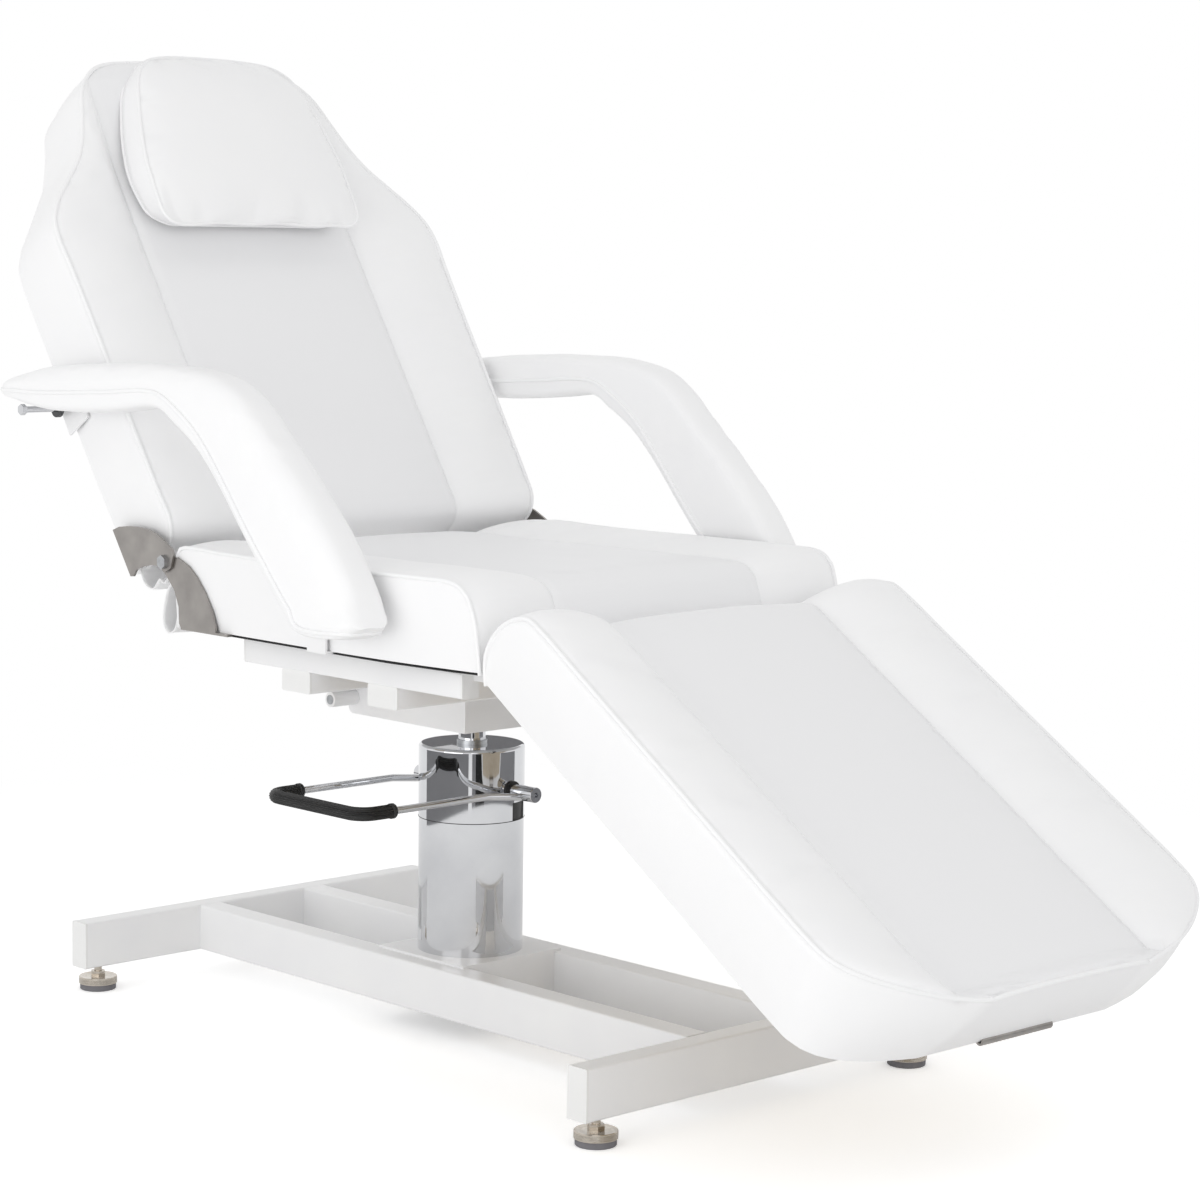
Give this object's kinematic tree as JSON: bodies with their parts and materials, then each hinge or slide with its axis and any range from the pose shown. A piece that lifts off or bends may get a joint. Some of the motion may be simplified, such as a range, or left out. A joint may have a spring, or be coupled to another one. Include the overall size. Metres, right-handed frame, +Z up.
{
  "type": "tattoo chair",
  "caption": "Reclining tattoo and beauty chair with padded back, seat, leg rest, armrests and head pillow on a hydraulic pedestal with a foot pedal and a steel base frame.",
  "frame": {"origin": "on the floor, under the middle of the chair's bounding box at the stored pose", "axes": "+X across the width, towards the right when facing the foot end; +Y along the length towards the head end; +Z up"},
  "size_m": [0.7688, 1.6226, 1.2134],
  "materials": {
    "white_powder_coat": "semi-gloss powder coat",
    "white_vinyl": "smooth upholstery vinyl with fine grain",
    "mirror_chrome": "polished",
    "brushed_steel": "brushed",
    "bright_nickel": "polished nickel plate",
    "zinc_steel": "zinc plated",
    "black_rubber": "ribbed, satin",
    "grey_rubber": "matte",
    "white_plastic": "satin",
    "plywood": "raw",
    "dark_steel": "satin dark paint",
    "cast_pump": "painted"
  },
  "bodies": {
    "base": {"base_beam_head": "white_powder_coat", "base_beam_foot": "white_powder_coat", "base_side_beam_left": "white_powder_coat", "base_side_beam_right": "white_powder_coat", "base_beam_caps": "white_plastic", "pump_mount": "white_powder_coat", "pump_lower_cover": "mirror_chrome", "pump_upper_cover": "mirror_chrome", "pump_body": "cast_pump", "pump_bolts": "zinc_steel", "pump_collar": "zinc_steel", "pump_seals": "black_rubber"},
    "foot_1": {"foot_stud_1": "bright_nickel", "foot_pad_1": "grey_rubber"},
    "foot_2": {"foot_stud_2": "bright_nickel", "foot_pad_2": "grey_rubber"},
    "foot_3": {"foot_stud_3": "bright_nickel", "foot_pad_3": "grey_rubber"},
    "foot_4": {"foot_stud_4": "bright_nickel", "foot_pad_4": "grey_rubber"},
    "lift": {"lift_rod": "mirror_chrome"},
    "pedal": {"pedal_bar": "mirror_chrome", "pedal_grip": "black_rubber"},
    "seat": {"swivel_box": "white_powder_coat", "strut_anchor_pins": "zinc_steel", "cross_tube_rear": "white_powder_coat", "cross_tube_front": "white_powder_coat", "seat_rail_left": "white_powder_coat", "seat_rail_right": "white_powder_coat", "frame_end_caps": "white_plastic", "frame_bolts": "zinc_steel", "seat_board": "plywood", "seat_cushion": "white_vinyl", "seat_bracket_left": "brushed_steel", "seat_bracket_right": "brushed_steel", "arm_brackets": "dark_steel", "leg_hinge_brackets": "white_powder_coat", "leg_hinge_pins": "zinc_steel", "rear_flaps": "white_vinyl"},
    "back": {"back_bracket_left": "brushed_steel", "back_bracket_right": "brushed_steel", "back_hinge_bolts": "zinc_steel", "back_board": "plywood", "back_cushion": "white_vinyl", "back_strut_lug": "white_powder_coat", "arm_carrier_plates": "white_powder_coat", "arm_pivot_bolts": "mirror_chrome"},
    "head_pillow": {"pillow": "white_vinyl"},
    "leg": {"leg_board": "plywood", "leg_cushion": "white_vinyl", "leg_hinge_arms": "white_powder_coat"},
    "handle": {"leg_handle": "white_powder_coat"},
    "back_cylinder": {"back_strut_cylinder": "dark_steel"},
    "back_rod": {"back_strut_rod": "mirror_chrome"},
    "leg_cylinder": {"leg_strut_cylinder": "dark_steel"},
    "leg_rod": {"leg_strut_rod": "mirror_chrome"},
    "arm_left": {"arm_pad_left": "white_vinyl", "arm_steel_left": "dark_steel"},
    "arm_right": {"arm_pad_right": "white_vinyl", "arm_steel_right": "dark_steel"}
  },
  "joints": [
    {"name": "foot_1_screw", "type": "slide", "parent": "base", "child": "foot_1", "axis": [0, 0, 1], "range_m": [-0.01, 0.004]},
    {"name": "foot_2_screw", "type": "slide", "parent": "base", "child": "foot_2", "axis": [0, 0, 1], "range_m": [-0.01, 0.004]},
    {"name": "foot_3_screw", "type": "slide", "parent": "base", "child": "foot_3", "axis": [0, 0, 1], "range_m": [-0.01, 0.004]},
    {"name": "foot_4_screw", "type": "slide", "parent": "base", "child": "foot_4", "axis": [0, 0, 1], "range_m": [-0.01, 0.004]},
    {"name": "lift_slide", "type": "slide", "parent": "base", "child": "lift", "axis": [0, 0, 1], "range_m": [-0.015, 0.15]},
    {"name": "seat_swivel", "type": "hinge", "parent": "lift", "child": "seat", "pos_m": [0, 0.13179, 0.381], "axis": [0, 0, 1], "continuous": true},
    {"name": "pedal_hinge", "type": "hinge", "parent": "base", "child": "pedal", "pos_m": [0.008, 0.13179, 0.3], "axis": [0, 1, 0], "range_deg": [-14, 8], "stiffness_Nm_per_rad": 60, "springref_deg": 1.15},
    {"name": "back_hinge", "type": "hinge", "parent": "seat", "child": "back", "pos_m": [0, 0.34659, 0.5788], "axis": [1, 0, 0], "range_deg": [-57, 13]},
    {"name": "leg_hinge", "type": "hinge", "parent": "seat", "child": "leg", "pos_m": [0, -0.21921, 0.505], "axis": [1, 0, 0], "range_deg": [-33.4, 14]},
    {"name": "back_cylinder_hinge", "type": "hinge", "parent": "seat", "child": "back_cylinder", "pos_m": [0, 0.26179, 0.402], "axis": [1, 0, 0], "range_deg": [-28.6, 6.6]},
    {"name": "back_rod_hinge", "type": "hinge", "parent": "back", "child": "back_rod", "pos_m": [0, 0.54199, 0.59512], "axis": [1, 0, 0], "range_deg": [-6.6, 28.6]},
    {"name": "leg_cylinder_hinge", "type": "hinge", "parent": "seat", "child": "leg_cylinder", "pos_m": [0, 0.02179, 0.414], "axis": [1, 0, 0], "range_deg": [-16.8, 7.1]},
    {"name": "leg_rod_hinge", "type": "hinge", "parent": "leg", "child": "leg_rod", "pos_m": [0, -0.40965, 0.33152], "axis": [1, 0, 0], "range_deg": [-7.1, 16.8]},
    {"name": "arm_left_hinge", "type": "hinge", "parent": "back", "child": "arm_left", "pos_m": [-0.3258, 0.55679, 0.755], "axis": [1, 0, 0], "range_deg": [-7.3, 31.6]},
    {"name": "arm_right_hinge", "type": "hinge", "parent": "back", "child": "arm_right", "pos_m": [0.3258, 0.55679, 0.755], "axis": [1, 0, 0], "range_deg": [-7.3, 31.6]},
    {"name": "pillow_slide", "type": "slide", "parent": "back", "child": "head_pillow", "axis": [0, 0.5425, 0.8401], "range_m": [-0.04, 0.02]},
    {"name": "handle_hinge", "type": "hinge", "parent": "leg", "child": "handle", "pos_m": [0, -0.67353, 0.18399], "axis": [1, 0, 0], "range_deg": [0, 12], "stiffness_Nm_per_rad": 3, "springref_deg": -11.46}
  ],
  "couplings": [
    {"joint": "back_cylinder_hinge", "follows": "back_hinge", "ratio": 0.5},
    {"joint": "back_rod_hinge", "follows": "back_hinge", "ratio": -0.5},
    {"joint": "leg_cylinder_hinge", "follows": "leg_hinge", "ratio": 0.5},
    {"joint": "leg_rod_hinge", "follows": "leg_hinge", "ratio": -0.5},
    {"joint": "arm_left_hinge", "follows": "back_hinge", "ratio": -0.5525},
    {"joint": "arm_right_hinge", "follows": "back_hinge", "ratio": -0.5525}
  ]
}
